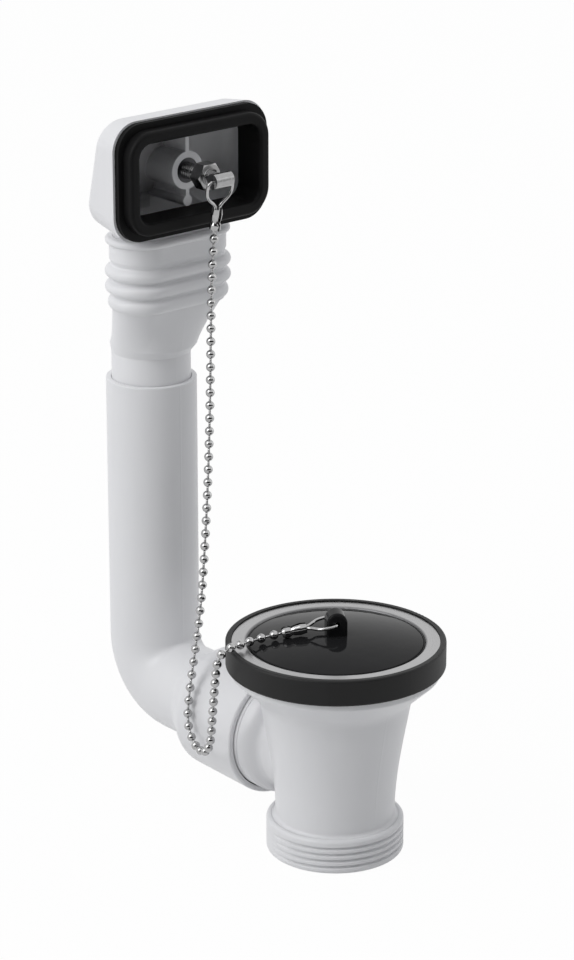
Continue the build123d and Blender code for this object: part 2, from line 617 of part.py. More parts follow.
def overflow_seal():
    """Rubber frame: a flange on the head's face, a raised rim in front and a sleeve in the mouth."""
    opening = RectangleRounded(OPENING_WIDTH, OPENING_HEIGHT, OPENING_CORNER)
    rim_shape = RectangleRounded(OPENING_WIDTH + 2 * RIM_WIDTH, OPENING_HEIGHT + 2 * RIM_WIDTH, OPENING_CORNER + RIM_WIDTH)
    sleeve_shape = RectangleRounded(
        OPENING_WIDTH + 2 * SLEEVE_WALL, OPENING_HEIGHT + 2 * SLEEVE_WALL, OPENING_CORNER + SLEEVE_WALL
    )
    flange = extrude(facing(SEAL_FRONT_X, RectangleRounded(SEAL_WIDTH, SEAL_HEIGHT, SEAL_CORNER)), amount=-SEAL_FLANGE)
    rim = extrude(facing(RIM_FRONT_X, rim_shape), amount=-(RIM_HEIGHT + SEAL_FLANGE))
    sleeve = extrude(facing(HEAD_FRONT_X, sleeve_shape), amount=-SLEEVE_LENGTH)
    passage = extrude(facing(RIM_FRONT_X, opening), amount=-(RIM_HEIGHT + SEAL_FLANGE + SLEEVE_LENGTH))
    frame = flange + rim + sleeve - passage
    front = frame.faces().filter_by(Axis.X).sort_by(Axis.X)[-1]
    return fillet(front.edges(), RIM_EDGE)


def along_stay(shape):
    """Turn a shape that is drawn along Z so that it lies along the chain stay, pointing to +X."""
    return Plane(origin=(0, 0, HEAD_Z), x_dir=(0, 1, 0), z_dir=(1, 0, 0)) * shape


def chain_stay():
    """Screw with a slimmer neck and a cross-drilled tube, in one piece."""
    screw = turned(
        (0, STAY_INNER_X),
        (SCREW_RADIUS, STAY_INNER_X),
        (SCREW_RADIUS, STAY_THREAD_END_X),
        (STAY_NECK_RADIUS, STAY_THREAD_END_X),
        (STAY_NECK_RADIUS, STAY_X),
        (0, STAY_X),
    )
    tube = Pos(0, 0, STAY_X) * Rot(0, 90, 0) * Cylinder(STAY_TUBE_RADIUS, STAY_TUBE_LENGTH)
    hole = Pos(0, 0, STAY_X) * Rot(0, 90, 0) * Cylinder(CROSS_HOLE_RADIUS, 2 * STAY_TUBE_LENGTH)
    return along_stay(screw + tube - hole)


def stay_nut():
    """Hexagon nut on the stay's screw, with its corners turned off."""
    hexagon = extrude(RegularPolygon(NUT_FLATS / 2, 6, major_radius=False), amount=NUT_THICKNESS)
    corner = NUT_FLATS / 2 / cos(pi / 6)
    chamfer_height = (corner - NUT_FLATS / 2) * tan(radians(30))
    blank = turned(
        (0, 0),
        (NUT_FLATS / 2, 0),
        (corner, chamfer_height),
        (corner, NUT_THICKNESS - chamfer_height),
        (NUT_FLATS / 2, NUT_THICKNESS),
        (0, NUT_THICKNESS),
    )
    nut = (hexagon & blank) - Cylinder(SCREW_RADIUS + THREAD_CLEARANCE, 4 * NUT_THICKNESS)
    return along_stay(Pos(0, 0, NUT_FRONT_X - NUT_THICKNESS) * nut)


def clip_places():
    """Planes of the two clips: X along the clip from its pins, Y along the pins."""
    swing = radians(UPPER_CLIP_SWING)
    upper = Plane(
        origin=(STAY_X, 0, HEAD_Z), x_dir=(-sin(swing), 0, -cos(swing)), z_dir=(cos(swing), 0, -sin(swing))
    )
    heading = radians(CHAIN_HEADING)
    dip = radians(LOWER_CLIP_DIP)
    ahead = Vector(cos(heading) * cos(dip), sin(heading) * cos(dip), -sin(dip))
    across = Vector(-sin(heading), cos(heading), 0)
    lower = Plane(origin=(0, 0, POST_HOLE_HEIGHT), x_dir=ahead, z_dir=ahead.cross(across))
    return upper, lower


def chain_clip(held_width):
    """Bent strip: two pins that face each other, arms that close to a waist and a loop."""
    arm = held_width / 2 + CLIP_GAP + STRIP_THICKNESS / 2
    loop = CLIP_LOOP_HALF_WIDTH
    one_side = [
        (0, arm - CLIP_PIN),
        (0, arm),
        (CLIP_SHOULDER, arm - STRIP_THICKNESS / 2),
        (CLIP_WAIST, loop),
        (CLIP_LENGTH, loop),
    ]
    other_side = [(x, -y) for x, y in reversed(one_side)]
    bends = [CLIP_BEND, CLIP_SHOULDER / 2, CLIP_SHOULDER / 2, 0.9 * loop]
    path = FilletPolyline(*one_side, *other_side, radius=bends + bends[::-1])
    start = Plane(origin=path @ 0, x_dir=(0, 0, 1), z_dir=path % 0)
    return sweep(start * Rectangle(STRIP_WIDTH, STRIP_THICKNESS), path=path)


def chain_clasp():
    """Folded strip, open along one side: one lobe holds the clip's loop, one the chain's last ball."""
    loop_end = CLIP_LENGTH + STRIP_THICKNESS / 2 + CLASP_CLEARANCE
    loop_reach = CLIP_LOOP_HALF_WIDTH + STRIP_THICKNESS / 2
    loop_bore = (loop_reach**2 + STRIP_WIDTH**2 / 4) ** 0.5 + CLASP_CLEARANCE
    ball_bore = BALL_RADIUS + CLASP_CLEARANCE
    bore = [
        (loop_bore, CLASP_START),
        (loop_bore + CLASP_SHEET, (CLASP_START + loop_end) / 2),
        (loop_bore, loop_end),
        (ball_bore * 0.72, FIRST_BALL - ball_bore),
        (ball_bore, FIRST_BALL - ball_bore / 2),
        (ball_bore, FIRST_BALL + ball_bore / 2),
        (ball_bore * 0.72, FIRST_BALL + ball_bore),
    ]
    skin = [(radius + CLASP_SHEET, place) for radius, place in reversed(bore)]
    strip = Plane(origin=(0, 0, 0), x_dir=(0, 1, 0), z_dir=(1, 0, 0)) * turned(*bore, *skin)
    slot = Box(2 * CLIP_LENGTH, CLASP_SLOT, 2 * CLIP_LENGTH, align=(Align.CENTER, Align.CENTER, Align.MIN))
    return strip - Pos(FIRST_BALL, 0, 0) * slot


def chain_path():
    """Chain's route from the upper clip to the lower one: straight runs joined by tangent arcs."""
    upper, lower = clip_places()
    first = upper.from_local_coords(Vector(FIRST_BALL, 0, 0))
    last = lower.from_local_coords(Vector(FIRST_BALL, 0, 0))
    points = [first] + [Vector(*point) for point in CHAIN_ROUTE] + [last]
    radii = []
    for before, here, after in zip(points, points[1:], points[2:]):
        run_in = here - before
        run_out = after - here
        half_turn = radians(run_in.get_angle(run_out)) / 2
        radii.append(0.45 * min(run_in.length, run_out.length) / tan(half_turn))
    print("chain bend radii", [round(radius, 1) for radius in radii])
    return FilletPolyline(*points, radius=radii)


def chain_ball():
    """Pressed ball with flat facets and flat ends on the local Z axis."""
    corners = []
    for latitude in BALL_RINGS:
        ring_radius = BALL_RADIUS * cos(radians(latitude))
        height = BALL_RADIUS * sin(radians(latitude))
        turns = [2 * pi * number / BALL_SIDES for number in range(BALL_SIDES)]
        corners += [(ring_radius * cos(turn), ring_radius * sin(turn), height) for turn in turns]
    return ConvexPolyhedron(corners)


def ball_chain():
    """Balls at an even pitch along the route, with a short link between each two."""
    path = chain_path()
    count = round(path.length / BALL_PITCH) + 1
    stations = [number / (count - 1) for number in range(count)]
    centres = [path @ station for station in stations]
    print("chain length", round(path.length, 1), "balls", count)
    ball = chain_ball()
    flat_end = BALL_RADIUS * sin(radians(BALL_RINGS[-1]))
    pieces = [Plane(origin=path @ station, z_dir=path % station) * ball for station in stations]
    for here, after in zip(centres, centres[1:]):
        step = after - here
        start = here + step.normalized() * flat_end
        link = Plane(origin=start, z_dir=step) * RegularPolygon(LINK_RADIUS, 6)
        pieces.append(extrude(link, amount=step.length - 2 * flat_end))
    return Compound(children=[piece.solid() for piece in pieces])


upper_place, lower_place = clip_places()
clasp = chain_clasp()
bar_bush = Pos(0, 0, BAR_MIDDLE_Z) * bush(BAR_HEIGHT)
stay_bush = along_stay(Pos(0, 0, BOSS_FRONT_X - STAY_BUSH_LENGTH / 2) * bush(STAY_BUSH_LENGTH))

PIECES = {
    "waste_gasket": waste_gasket(),
    "strainer_flange": strainer_flange(),
    "plug": plug(),
    "waste_body": waste_body(),
    "bar_insert": bar_bush,
    "flange_screw": flange_screw(),
    "socket_seal": socket_seal(),
    "overflow_pipe": overflow_pipe(),
    "bellows_connector": bellows_connector(),
    "overflow_head": overflow_head(),
    "overflow_seal": overflow_seal(),
    "stay_insert": stay_bush,
    "chain_stay": chain_stay(),
    "stay_nut": stay_nut(),
    "upper_chain_clip": upper_place * chain_clip(STAY_TUBE_LENGTH),
    "upper_chain_clasp": upper_place * clasp,
    "lower_chain_clip": lower_place * chain_clip(POST_THICKNESS),
    "lower_chain_clasp": lower_place * clasp,
    "ball_chain": ball_chain(),
}

os.makedirs("parts", exist_ok=True)
for name, piece in PIECES.items():
    export_step(piece, f"parts/{name}.step")
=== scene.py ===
import bmesh
import bpy
import numpy as np
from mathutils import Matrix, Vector


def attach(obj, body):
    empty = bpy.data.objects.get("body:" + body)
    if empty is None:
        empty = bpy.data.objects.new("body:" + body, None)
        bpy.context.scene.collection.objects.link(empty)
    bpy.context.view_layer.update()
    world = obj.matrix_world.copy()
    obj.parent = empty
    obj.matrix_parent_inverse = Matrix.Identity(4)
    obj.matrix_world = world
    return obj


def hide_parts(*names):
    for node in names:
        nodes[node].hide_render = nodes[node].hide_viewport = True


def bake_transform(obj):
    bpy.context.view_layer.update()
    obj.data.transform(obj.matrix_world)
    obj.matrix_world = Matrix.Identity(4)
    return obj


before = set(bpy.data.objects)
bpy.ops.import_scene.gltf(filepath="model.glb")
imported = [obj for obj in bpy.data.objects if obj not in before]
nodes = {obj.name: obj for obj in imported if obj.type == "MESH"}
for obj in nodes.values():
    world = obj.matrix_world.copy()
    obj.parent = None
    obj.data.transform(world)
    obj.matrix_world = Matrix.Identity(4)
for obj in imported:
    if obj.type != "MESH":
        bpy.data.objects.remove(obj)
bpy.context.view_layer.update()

# Waste body: a tapered barrel with a flange on top, a side inlet and a threaded collar below.
# It is moulded in one from white polypropylene, with a satin skin and a faint parting line.


class Wire:
    """One socket of a finish's node tree; sums, products and powers of wires add Math nodes."""

    def __init__(self, tree, socket):
        self.tree = tree
        self.socket = socket

    def node(self, kind, settings, sockets, out=0):
        """Add a node: its settings first, then the values or links of its input sockets."""
        made = self.tree.nodes.new(kind)
        for name, value in settings.items():
            setattr(made, name, value)
        for name, value in sockets.items():
            if isinstance(value, Wire):
                self.tree.links.new(value.socket, made.inputs[name])
            else:
                made.inputs[name].default_value = value
        return Wire(self.tree, made.outputs[out])

    def math(self, operation, first, second=0.0):
        """A Math node on two wires or numbers."""
        return self.node("ShaderNodeMath", {"operation": operation}, {0: first, 1: second})

    def __add__(self, other):
        return self.math("ADD", self, other)

    def __radd__(self, other):
        return self.math("ADD", other, self)

    def __sub__(self, other):
        return self.math("SUBTRACT", self, other)

    def __rsub__(self, other):
        return self.math("SUBTRACT", other, self)

    def __mul__(self, other):
        return self.math("MULTIPLY", self, other)

    def __rmul__(self, other):
        return self.math("MULTIPLY", other, self)

    def __pow__(self, other):
        return self.math("POWER", self, other)

    def __abs__(self):
        return self.math("ABSOLUTE", self)

    def noise(self, scale, detail=3.0):
        """Noise of about 1 / scale metres, from 0 to 1."""
        return self.node("ShaderNodeTexNoise", {}, {"Vector": self, "Scale": scale, "Detail": detail})

    def part(self, name):
        """The X, Y or Z of a vector."""
        return self.node("ShaderNodeSeparateXYZ", {}, {0: self}, name)

    def stretched(self, x, y, z):
        """The vector with its three parts multiplied."""
        return self.node("ShaderNodeVectorMath", {"operation": "MULTIPLY"}, {0: self, 1: (x, y, z)})

    def fade(self, low, high):
        """0 below low and 1 above high, smooth between."""
        settings = {"interpolation_type": "SMOOTHSTEP"}
        return self.node("ShaderNodeMapRange", settings, {"Value": self, "From Min": low, "From Max": high})

    def tint(self, first, second):
        """Colour that runs from first to second as this value runs from 0 to 1."""
        sockets = {"Factor": self, 6: (*first, 1), 7: (*second, 1)}
        return self.node("ShaderNodeMix", {"data_type": "RGBA"}, sockets, 2)

    def mixed(self, first, second):
        """Colour from the wire first to the plain colour second as this value runs from 0 to 1."""
        sockets = {"Factor": self, 6: first, 7: (*second, 1)}
        return self.node("ShaderNodeMix", {"data_type": "RGBA"}, sockets, 2)

    def bump(self, height):
        """Normal of a surface raised by this value times height, in metres."""
        return self.node("ShaderNodeBump", {}, {"Height": self, "Distance": height, "Strength": 1.0})


def new_finish(name, **constants):
    """Start a finish: its material, its shader's plug-in function and the object's own coordinates."""
    material = bpy.data.materials.new(name)
    material.use_nodes = True
    tree = material.node_tree
    shader = tree.nodes["Principled BSDF"]
    for socket, value in constants.items():
        shader.inputs[socket.replace("_", " ")].default_value = value
    place = Wire(tree, tree.nodes.new("ShaderNodeTexCoord").outputs["Object"])

    def feed(**wires):
        for socket, wire in wires.items():
            tree.links.new(wire.socket, shader.inputs[socket.replace("_", " ")])

    return material, feed, place


def wear(piece, material):
    """Give a piece one finish."""
    piece.data.materials.clear()
    piece.data.materials.append(material)


def white_plastic(name, pale, shade, gloss):
    """Moulded polypropylene: clouded white, fine skin, a faint parting line on the plane Y = 0."""
    material, feed, place = new_finish(name, IOR=1.46)
    cloud = place.noise(28.0)
    grain = place.noise(1900.0, 2.0)
    flow = place.stretched(1.0, 1.0, 0.25).noise(160.0, 2.0)
    seam = 1.0 - abs(place.part("Y")).fade(0.00008, 0.00035)
    feed(
        Base_Color=(cloud * 0.7 + flow * 0.3).tint(shade, pale),
        Roughness=gloss + cloud * 0.10 + grain * 0.06,
        Normal=(grain * 0.10 + flow * 0.35 + seam * 0.5).bump(0.00005),
    )
    return material


body_finish = white_plastic("body_white", (0.80, 0.80, 0.81), (0.74, 0.74, 0.755), 0.30)


def grid_faces(rows, columns):
    """Quads between neighbouring points of a grid, row by row; each row closes on itself."""
    row, column = np.meshgrid(np.arange(rows - 1), np.arange(columns), indexing="ij")
    here, below = row * columns, (row + 1) * columns
    after = (column + 1) % columns
    quads = np.stack([here + column, here + after, below + after, below + column], axis=-1)
    return quads.reshape(-1, 4)


same_spot = 1e-7


def new_piece(name, points, faces, material):
    """Make a smooth-shaded mesh piece at the origin from points and faces, its poles and seams closed."""
    mesh = bpy.data.meshes.new(name)
    mesh.from_pydata(points.reshape(-1, 3).tolist(), [], faces.tolist())
    closed = bmesh.new()
    closed.from_mesh(mesh)
    bmesh.ops.remove_doubles(closed, verts=closed.verts, dist=same_spot)
    closed.to_mesh(mesh)
    closed.free()
    mesh.polygons.foreach_set("use_smooth", np.ones(len(mesh.polygons), bool))
    piece = bpy.data.objects.new(name, mesh)
    bpy.context.scene.collection.objects.link(piece)
    wear(piece, material)
    return piece


def spun(profile_r, profile_z, turn_r, sides):
    """Points of a turned surface: radius and height along a profile, plus turn_r(angle, height)."""
    angle = np.linspace(0, 2 * np.pi, sides, endpoint=False)
    radius = profile_r[:, None] + turn_r(angle[None, :], profile_z[:, None])
    height = np.broadcast_to(profile_z[:, None], radius.shape)
    return np.stack([radius * np.cos(angle), radius * np.sin(angle), height], axis=-1)


collar_top, collar_bottom, collar_edge = -0.0652, -0.0776, 0.0013
thread_crest, thread_depth, thread_pitch = 0.0239, 0.0010, 0.002309
core_radius = 0.0223
inlet_edge_x, inlet_edge_radius, inlet_z = -0.0240, 0.0207, -0.0440
inlet_edge_tilt = np.radians(23.8)
edge_reach, end_face_normal, collar_reach = 0.00005, 0.95, 0.00002


def merged_copy(mesh):
    """A solid's points without their doubles, its triangles, and the normal at each corner."""
    points = np.empty(len(mesh.vertices) * 3)
    mesh.vertices.foreach_get("co", points)
    corner_points = np.empty(len(mesh.loops), int)
    mesh.loops.foreach_get("vertex_index", corner_points)
    normals = np.empty(len(mesh.loops) * 3)
    mesh.corner_normals.foreach_get("vector", normals)
    rounded = np.round(points.reshape(-1, 3), 7)
    _, first, place = np.unique(rounded, axis=0, return_index=True, return_inverse=True)
    triangles = place.ravel()[corner_points].reshape(-1, 3)
    whole = (triangles != np.roll(triangles, 1, axis=1)).all(axis=1)
    return points.reshape(-1, 3)[first], triangles[whole], normals.reshape(-1, 3, 3)[whole]


body_points, body_triangles, body_normals = merged_copy(nodes["waste_body"].data)
from_inlet = np.hypot(body_points[:, 1], body_points[:, 2] - inlet_z)
on_inlet_edge = np.hypot(body_points[:, 0] - inlet_edge_x, from_inlet - inlet_edge_radius) < edge_reach
edge_corners = on_inlet_edge[body_triangles] & (np.abs(body_normals[:, :, 0]) < end_face_normal)
edge_outward = np.hypot(body_normals[edge_corners, 1], body_normals[edge_corners, 2])
body_normals[edge_corners, 0] = np.tan(inlet_edge_tilt) * edge_outward
body_normals /= np.linalg.norm(body_normals, axis=2)[:, :, None]
from_axis = np.hypot(body_points[:, 0], body_points[:, 1])
on_collar = (body_points[:, 2] < collar_top + collar_reach) & (from_axis > core_radius)
body_points[on_collar, :2] *= (core_radius / from_axis[on_collar])[:, None]
waste_body = new_piece("waste_body_moulding", body_points, body_triangles, body_finish)
waste_body.data.normals_split_custom_set(body_normals.reshape(-1, 3).tolist())
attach(waste_body, "waste")
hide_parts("waste_body")

# Outlet thread: the pipe thread for the trap's nut, moulded on the collar with broad crests.
# It starts under a plain rounded shoulder, fades where the mould parts, and ends above a plain foot.

thread_phase, crest_share, thread_sides = 0.88, 0.30, 240
plain_top, plain_foot, thread_fade = 0.0016, 0.0014, 0.0008
parting_turn, parting_half, parting_fade = np.radians((131, 25, 28))
ring_lift, ring_overlap = 0.00001, 0.0003


def thread_groove(angle, height):
    """Depth of the groove: a narrowed wave of (height / pitch - turn), faded at its ends and parting."""
    phase = height / thread_pitch - angle / (2 * np.pi) + thread_phase
    wave = np.clip((0.5 - 0.5 * np.cos(2 * np.pi * phase) - crest_share) / (1 - crest_share), 0, 1)
    groove = wave * wave * (3 - 2 * wave)
    start = np.clip((collar_top - plain_top - height) / thread_fade, 0, 1)
    end = np.clip((height - collar_bottom - plain_foot) / thread_fade, 0, 1)
    from_parting = np.abs(np.mod(angle + parting_turn + np.pi, 2 * np.pi) - np.pi)
    cut = np.clip((from_parting - parting_half) / parting_fade, 0, 1)
    return -thread_depth * groove * start * end * cut


def outlet_thread():
    """Closed ring: threaded outside, rounded lips, and an inner wall inside the collar's core."""
    lip = np.linspace(0, np.pi / 2, 8)
    top_r = thread_crest - collar_edge + collar_edge * np.sin(lip)
    top_z = collar_top + ring_lift - collar_edge + collar_edge * np.cos(lip)
    foot_z = collar_top + collar_bottom - top_z[::-1]
    outer_z = np.linspace(collar_top - collar_edge, collar_bottom + collar_edge, 130)[1:-1]
    outer_r = np.full(outer_z.shape, thread_crest)
    inner_r = np.full(2, core_radius - ring_overlap)
    inner_z = np.array([collar_bottom, collar_top + ring_lift])
    radius = np.concatenate([inner_r[1:], top_r, outer_r, top_r[::-1], inner_r])
    height = np.concatenate([inner_z[1:], top_z, outer_z, foot_z, inner_z])
    points = spun(radius, height, thread_groove, thread_sides)
    return points, grid_faces(len(radius), thread_sides)[:, ::-1]


thread = new_piece("outlet_thread_ridges", *outlet_thread(), body_finish)
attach(thread, "waste")

# Waste gasket: a thick black rubber ring between the bowl and the body's flange.
# It is moulded rubber with a fine matt skin and faint greyer dusty clouds.


def black_rubber(name, tone, gloss, shine):
    """Moulded rubber: nearly black, matt, with a fine pebbled skin and faint dusty clouds."""
    material, feed, place = new_finish(name, Specular_IOR_Level=shine)
    dust = place.noise(90.0, 5.0)
    grain = place.noise(2600.0, 2.0)
    feed(
        Base_Color=dust.tint((tone * 0.75,) * 3, (tone * 1.35, tone * 1.35, tone * 1.42)),
        Roughness=gloss + dust * 0.14,
        Normal=(grain * 0.6 + dust * 0.4).bump(0.00004),
    )
    return material


gasket_finish = black_rubber("gasket_rubber", 0.009, 0.46, 0.30)
wear(nodes["waste_gasket"], gasket_finish)

# Strainer flange: a pressed stainless sheet whose ring and cup lie in the gasket.
# Its face is turned, so fine rings run round the axis. The cup's inner wall, in the plug's shade, is
# darkened by painted shade.

bend_fade, flange_bend_radius, no_bend = 0.0004, 0.0312, 0.0


def turned_steel(name, tone, gloss, bend_radius):
    """Stainless steel with streaks that follow the distance from the Z axis, darkened by painted shade and
    rougher inside bend_radius.
    """
    material, feed, place = new_finish(name, Metallic=1.0)
    x, y = place.part("X"), place.part("Y")
    radius = (x * x + y * y) ** 0.5
    rings = radius.node("ShaderNodeCombineXYZ", {}, {"X": radius * 900.0, "Y": x * 12.0, "Z": y * 12.0})
    streak = rings.noise(3.0, 4.0)
    broad = rings.noise(0.5, 2.0)
    face = (streak * 0.6 + broad * 0.4).tint((tone * 0.78,) * 3, (tone * 1.18, tone * 1.18, tone * 1.2))
    # Painted shade: inside bend_radius the steel is darkened to four tenths of its tone, standing in for
    # the plug's shade.
    bend_painted_shade = 1.0 - radius.fade(bend_radius - bend_fade, bend_radius + bend_fade)
    feed(
        Base_Color=bend_painted_shade.mixed(face, (tone * 0.4, tone * 0.4, tone * 0.41)),
        Roughness=gloss + streak * 0.16 + bend_painted_shade * 0.2,
        Normal=streak.bump(0.00002),
    )
    return material


wear(nodes["strainer_flange"], turned_steel("flange_steel", 0.42, 0.22, flange_bend_radius))
wear(nodes["flange_screw"], turned_steel("screw_steel", 0.45, 0.28, no_bend))

# Metal bushes: turned, nickelled inserts pressed into the body's cross-bar and the head's boss.
# They take the flange screw and the chain stay; both are painted nearly black, so that one shows as the
# shaded hole in the boss.


def nickel_painted_dark(name):
    """Nickel plate painted nearly black as the shade in the boss's hole, with a fine grain and paler
    clouds.
    """
    material, feed, place = new_finish(name, Metallic=1.0)
    nickel_clouds = place.noise(300.0, 4.0)
    # Painted shade: the nickel is kept nearly black, standing in for the shade inside the boss's hole.
    feed(
        Base_Color=nickel_clouds.tint((0.03, 0.03, 0.032), (0.09, 0.09, 0.095)),
        Roughness=0.25 + nickel_clouds * 0.2,
        Normal=place.noise(3000.0).bump(0.00002),
    )
    return material


nickel_finish = nickel_painted_dark("bush_nickel")
for bush in ("bar_insert", "stay_insert"):
    wear(nodes[bush], nickel_finish)

# Plug: a shallow black stopper with an upright drilled post, resting in the steel cup.
# It is hard rubber with a smooth, rather shiny skin that shows the chain's reflection.


def shiny_rubber(name):
    """Hard rubber: black, smooth and shiny, with slight ripples and finger-worn clouds."""
    material, feed, place = new_finish(name, IOR=1.45, Specular_IOR_Level=0.08)
    smear = place.noise(60.0, 4.0)
    ripple = place.noise(220.0, 2.0)
    feed(
        Base_Color=smear.tint((0.009, 0.009, 0.0095), (0.019, 0.019, 0.020)),
        Roughness=0.04 + smear * 0.06,
        Normal=ripple.bump(0.00003),
    )
    return material


plug_finish = shiny_rubber("plug_rubber")
wear(nodes["plug"], plug_finish)

# Plug's crown: the domed top of the stopper, the same shiny rubber as the rest, with the post through it.
# It lies on the solid's flatter top and comes up to just under the clip's clasp.

crown_radius, crown_rise, crown_base, crown_sink = 0.0303, 0.0032, -0.00097, 0.0006
crown_sides = 160


def plug_crown():
    """Closed lens: a dome of height rise * (1 - (r / radius)^2) over a shallow one below it."""
    share = np.linspace(1, 0, 40)
    top = crown_base + crown_rise * (1 - share**2)
    under = crown_base - crown_sink * (1 - share**2)
    radius = np.concatenate([share[::-1], share[1:]])
    height = np.concatenate([under[::-1], top[1:]])
    points = spun(radius * crown_radius, height, lambda angle, level: 0 * angle * level, crown_sides)
    return points, grid_faces(len(radius), crown_sides)


crown = new_piece("plug_crown", *plug_crown(), plug_finish)
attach(crown, "waste")

# Socket seal: the black ring between the inlet's spigot and the overflow pipe's socket.
# It is soft rubber, seen only as a dark line in the socket's mouth.

wear(nodes["socket_seal"], black_rubber("socket_rubber", 0.008, 0.55, 0.20))

# Overflow pipe: an upright tube, a tight elbow and a push-fit socket, moulded in one.
# It is the same white polypropylene as the body, with the parting line down its middle.

pipe_finish = white_plastic("pipe_white", (0.80, 0.80, 0.81), (0.75, 0.75, 0.765), 0.28)
wear(nodes["overflow_pipe"], pipe_finish)

# Flexible connector: an oval collar with soft folds and a round spigot that slides in the pipe.
# It is blow-moulded from a softer, slightly milkier white plastic.

connector_finish = white_plastic("connector_white", (0.82, 0.82, 0.83), (0.77, 0.77, 0.785), 0.34)
wear(nodes["bellows_connector"], connector_finish)

# Overflow head: the white moulded box behind the bowl's overflow slot.
# Its boss and ribs inside carry the chain stay's bush. Inside the box, painted shade greys the wall left of
# the ribs, and the boss's barrel a little less.

head_middle_z, head_back_lean, head_back_x = 0.1495, 0.3057, -0.1403
boss_front_x, boss_radius, rib_left_y = -0.0790, 0.0068, -0.0009
inside_half_width, inside_half_height, mask_fade = 0.0262, 0.0160, 0.0008


def housing_plastic(name):
    """The body's polypropylene, duller inside the box, where painted shade greys the wall left of the ribs
    and, a little less, the boss's barrel.
    """
    material, feed, place = new_finish(name, IOR=1.46)
    x, y, z = place.part("X"), place.part("Y"), place.part("Z")
    cloud = place.noise(28.0)
    grain = place.noise(1900.0, 2.0)
    flow = place.stretched(1.0, 1.0, 0.25).noise(160.0, 2.0)
    up = z - head_middle_z
    before_back = (x - z * head_back_lean - head_back_x).fade(0.0006, 0.0014)
    behind_boss_face = 1.0 - x.fade(boss_front_x, boss_front_x + mask_fade)
    between_sides = 1.0 - abs(y).fade(inside_half_width, inside_half_width + mask_fade)
    between_floors = 1.0 - abs(up).fade(inside_half_height, inside_half_height + mask_fade)
    inside = before_back * behind_boss_face * between_sides * between_floors
    off_boss = ((y * y + up * up) ** 0.5).fade(boss_radius, boss_radius + 0.0005)
    left_of_ribs = 1.0 - y.fade(rib_left_y - 0.0006, rib_left_y)
    skin = (cloud * 0.7 + flow * 0.3).tint((0.75, 0.75, 0.765), (0.80, 0.80, 0.81))
    # Painted shade: inside the box, the wall left of the ribs is greyed fully and the boss's barrel at six
    # tenths.
    painted_shade_share = inside * left_of_ribs * (0.6 + off_boss * 0.4)
    feed(
        Base_Color=painted_shade_share.mixed(skin, (0.52, 0.52, 0.53)),
        Roughness=0.30 + cloud * 0.10 + grain * 0.06 + inside * 0.2,
        Normal=(grain * 0.10 + flow * 0.35).bump(0.00005),
    )
    return material


wear(nodes["overflow_head"], housing_plastic("head_white"))

# Overflow seal: a black rubber frame pushed on the head's mouth.
# Its raised rim is pressed against the back of the bowl's wall.

wear(nodes["overflow_seal"], black_rubber("seal_rubber", 0.007, 0.42, 0.10))

# Chain stay and nut: a chromed screw with a cross-drilled tube, locked by a hexagon nut.
# The screw goes through the overflow slot into the head's metal bush.

stay_thread_pitch, stay_thread_end = 0.001, -0.0647


def bright_chrome(name, tone, gloss, thread_along_x):
    """Chrome plate: bright, with faint clouds and handling marks, and if asked a thread's rings along X."""
    material, feed, place = new_finish(name, Metallic=1.0)
    haze = place.noise(700.0, 4.0)
    marks = place.noise(4000.0, 2.0)
    height = marks * 0.15
    if thread_along_x:
        x = place.part("X")
        wave = x.math("SINE", x * (2 * np.pi / stay_thread_pitch))
        height = height + wave * (1.0 - x.fade(stay_thread_end, stay_thread_end + 0.0002))
    feed(
        Base_Color=haze.tint((tone * 0.8,) * 3, (tone * 1.15, tone * 1.15, tone * 1.16)),
        Roughness=gloss + haze * 0.08,
        Normal=height.bump(0.00012 if thread_along_x else 0.00002),
    )
    return material


wear(nodes["chain_stay"], bright_chrome("stay_chrome", 0.38, 0.12, True))
wear(nodes["stay_nut"], bright_chrome("nut_chrome", 0.32, 0.16, False))

# Clips and clasps: bent wire clips that pivot in the stay and in the plug's post.
# A folded strip clasps each clip's loop to the chain's last ball; all are chromed.

wire_radius, pin_reach, arm_gap, wire_sides = 0.0006, 0.0023, 0.00085, 12
stay_pivot, stay_half_width = np.array([-0.0600, 0, 0.1495]), 0.00385
post_pivot, post_half_width = np.array([0, 0, 0.0065]), 0.0034
swing, heading, dip = np.radians((11.0, 237.0, 10.5))
clip_chrome = bright_chrome("clip_chrome", 0.44, 0.10, False)


def spline_points(route):
    """Points along the smooth line of a route: a spline of order 3 that starts and ends on it."""
    curve = bpy.data.curves.new("line_of_route", "CURVE")
    curve.dimensions = "3D"
    curve.resolution_u = 24
    spline = curve.splines.new("NURBS")
    spline.points.add(len(route) - 1)
    spline.points.foreach_set("co", np.column_stack([route, np.ones(len(route))]).ravel())
    spline.order_u = 3
    spline.use_endpoint_u = True
    carrier = bpy.data.objects.new("line_of_route", curve)
    bpy.context.scene.collection.objects.link(carrier)
    line = bpy.data.meshes.new_from_object(carrier)
    points = np.empty(len(line.vertices) * 3)
    line.vertices.foreach_get("co", points)
    bpy.data.objects.remove(carrier)
    bpy.data.meshes.remove(line)
    return points.reshape(-1, 3)


